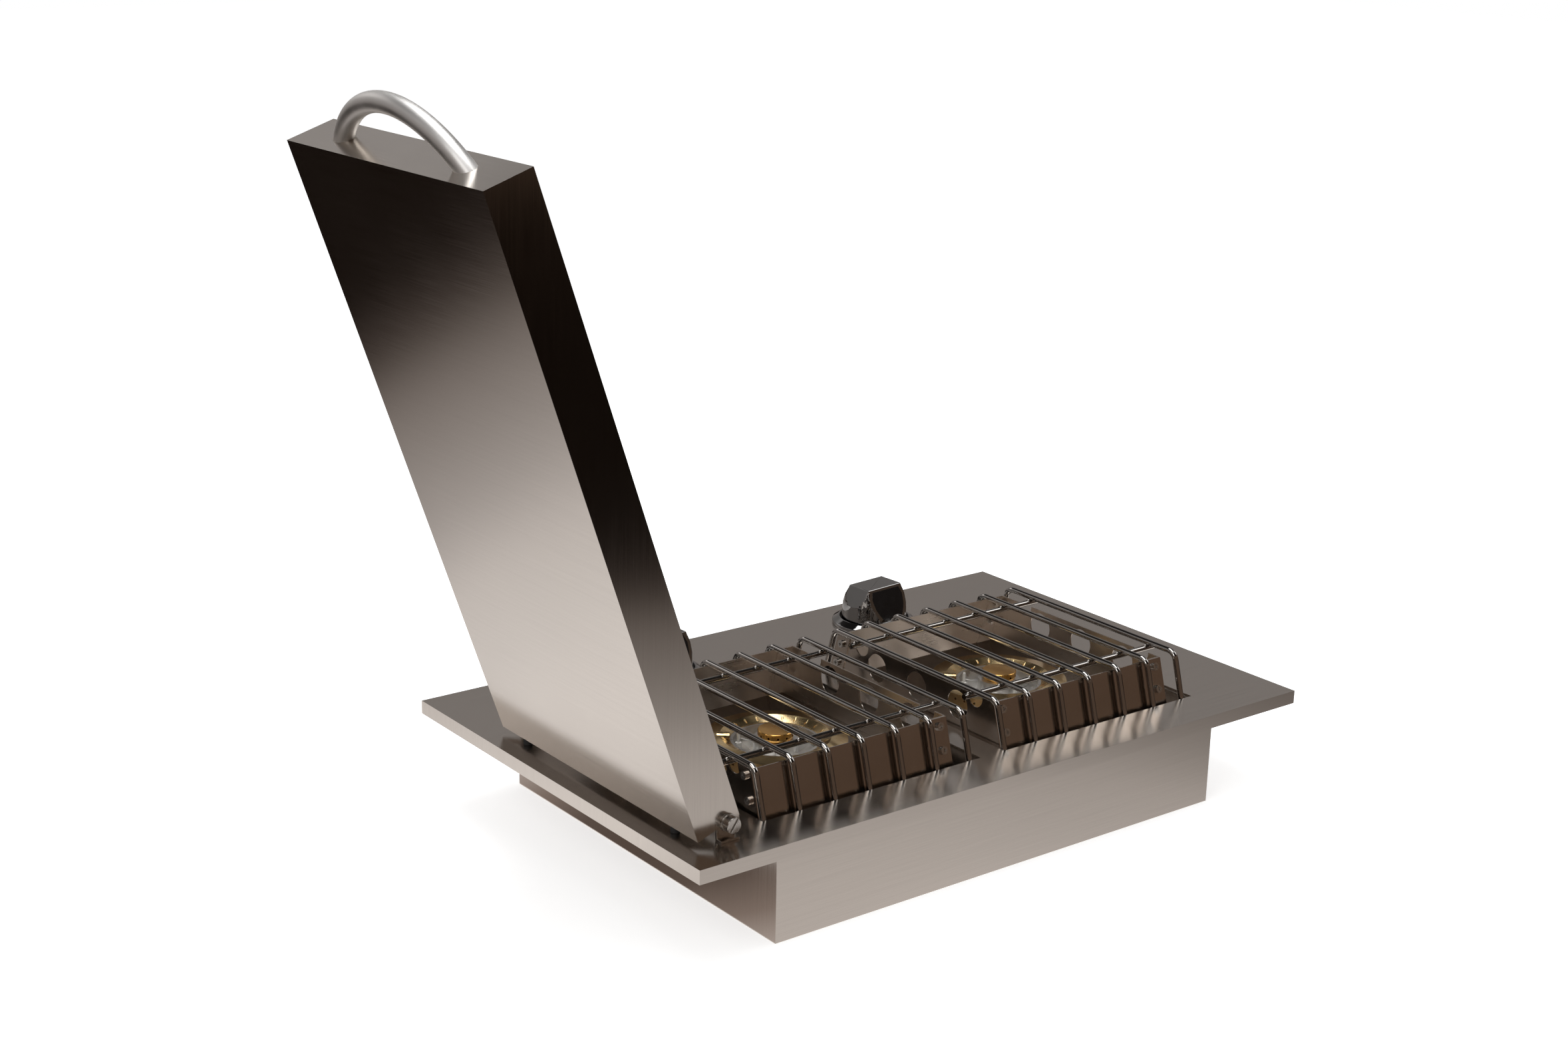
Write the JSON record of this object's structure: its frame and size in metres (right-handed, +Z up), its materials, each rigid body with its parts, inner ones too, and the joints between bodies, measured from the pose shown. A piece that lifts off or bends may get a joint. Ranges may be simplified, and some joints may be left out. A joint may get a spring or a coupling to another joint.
{
  "type": "built in side burner",
  "caption": "Drop-in gas side burner: flanged plate over a shallow box, brass ring burners in wind guards, wire racks, push-and-turn knobs and a side-hinged lid with bow handle.",
  "frame": {"origin": "middle of the drop box's underside, which is centred under the plate", "axes": "+X along the long side toward the free end of the closed lid, +Y across toward the control knobs, +Z up"},
  "size_m": [0.7552, 0.3886, 0.6038],
  "materials": {
    "brushed_sheet": "fine brushed stainless sheet, warm grey",
    "polished_sheet": "polished stainless sheet",
    "polished_wire": "polished stainless wire",
    "bright_fasteners": "bright stainless fasteners",
    "brass": "machined brass, slightly polished",
    "cast_alloy": "machined cast aluminium",
    "alloy_tube": "plain drawn tube",
    "knob_chrome": "mirror chrome",
    "black_trim": "gloss black",
    "spindle_steel": "plain turned steel",
    "satin_handle": "satin blasted stainless bar",
    "stop_rubber": "black rubber",
    "igniter_ceramic": "white glazed ceramic"
  },
  "bodies": {
    "base": {"top_plate": "brushed_sheet", "drop_box": "brushed_sheet", "drip_pan": "brushed_sheet", "lid_stops": "stop_rubber", "hinge_brackets": "brushed_sheet", "pivot_screws": "bright_fasteners", "pivot_washers": "bright_fasteners", "pivot_nuts": "bright_fasteners", "guard_near_a": "polished_sheet", "guard_far_a": "polished_sheet", "guard_left_a": "polished_sheet", "guard_right_a": "polished_sheet", "guard_screws_a": "bright_fasteners", "guard_near_b": "polished_sheet", "guard_far_b": "polished_sheet", "guard_left_b": "polished_sheet", "guard_right_b": "polished_sheet", "guard_screws_b": "bright_fasteners", "rack_a": "polished_wire", "rack_b": "polished_wire", "burner_ring_a": "brass", "burner_bowl_a": "cast_alloy", "burner_cap_a": "brass", "flame_bridge_a": "brass", "igniter_a": "igniter_ceramic", "burner_ring_b": "brass", "burner_bowl_b": "cast_alloy", "burner_cap_b": "brass", "flame_bridge_b": "brass", "igniter_b": "igniter_ceramic", "burner_stand_a": "brushed_sheet", "injector_post_a": "brass", "feed_pipe_a": "alloy_tube", "jets": "brass", "burner_stand_b": "brushed_sheet", "injector_post_b": "brass", "feed_pipe_b": "alloy_tube", "valve_screws": "bright_fasteners", "manifold": "alloy_tube", "inlet_fitting": "brass", "inlet_nut": "brass", "gas_valve_a": "brass", "knob_bezel_a": "knob_chrome", "shield_disc_a": "black_trim", "return_spring_a": "spindle_steel", "gas_valve_b": "brass", "knob_bezel_b": "knob_chrome", "shield_disc_b": "black_trim", "return_spring_b": "spindle_steel"},
    "lid": {"lid_shell": "brushed_sheet", "lid_handle": "satin_handle", "handle_screws": "bright_fasteners"},
    "knob_push_a": {"spring_seat_a": "spindle_steel"},
    "knob_turn_a": {"knob_a": "knob_chrome", "knob_inlays_a": "black_trim", "spindle_a": "spindle_steel"},
    "knob_push_b": {"spring_seat_b": "spindle_steel"},
    "knob_turn_b": {"knob_b": "knob_chrome", "knob_inlays_b": "black_trim", "spindle_b": "spindle_steel"}
  },
  "joints": [
    {"name": "lid_hinge", "type": "hinge", "parent": "base", "child": "lid", "pos_m": [-0.26, -0.033, 0.0999], "axis": [0, 1, 0], "range_deg": [0, 109.27]},
    {"name": "knob_push_a", "type": "slide", "parent": "base", "child": "knob_push_a", "axis": [0, 0, -1], "range_m": [0, 0.0025], "stiffness_N_per_m": 900, "springref_m": -0.002, "deforming": ["return_spring_a"]},
    {"name": "knob_turn_a", "type": "hinge", "parent": "knob_push_a", "child": "knob_turn_a", "pos_m": [-0.11125, 0.13875, 0.1063], "axis": [0, 0, 1], "range_deg": [0, 210]},
    {"name": "knob_push_b", "type": "slide", "parent": "base", "child": "knob_push_b", "axis": [0, 0, -1], "range_m": [0, 0.0025], "stiffness_N_per_m": 900, "springref_m": -0.002, "deforming": ["return_spring_b"]},
    {"name": "knob_turn_b", "type": "hinge", "parent": "knob_push_b", "child": "knob_turn_b", "pos_m": [0.12325, 0.13875, 0.1063], "axis": [0, 0, 1], "range_deg": [0, 210]}
  ]
}
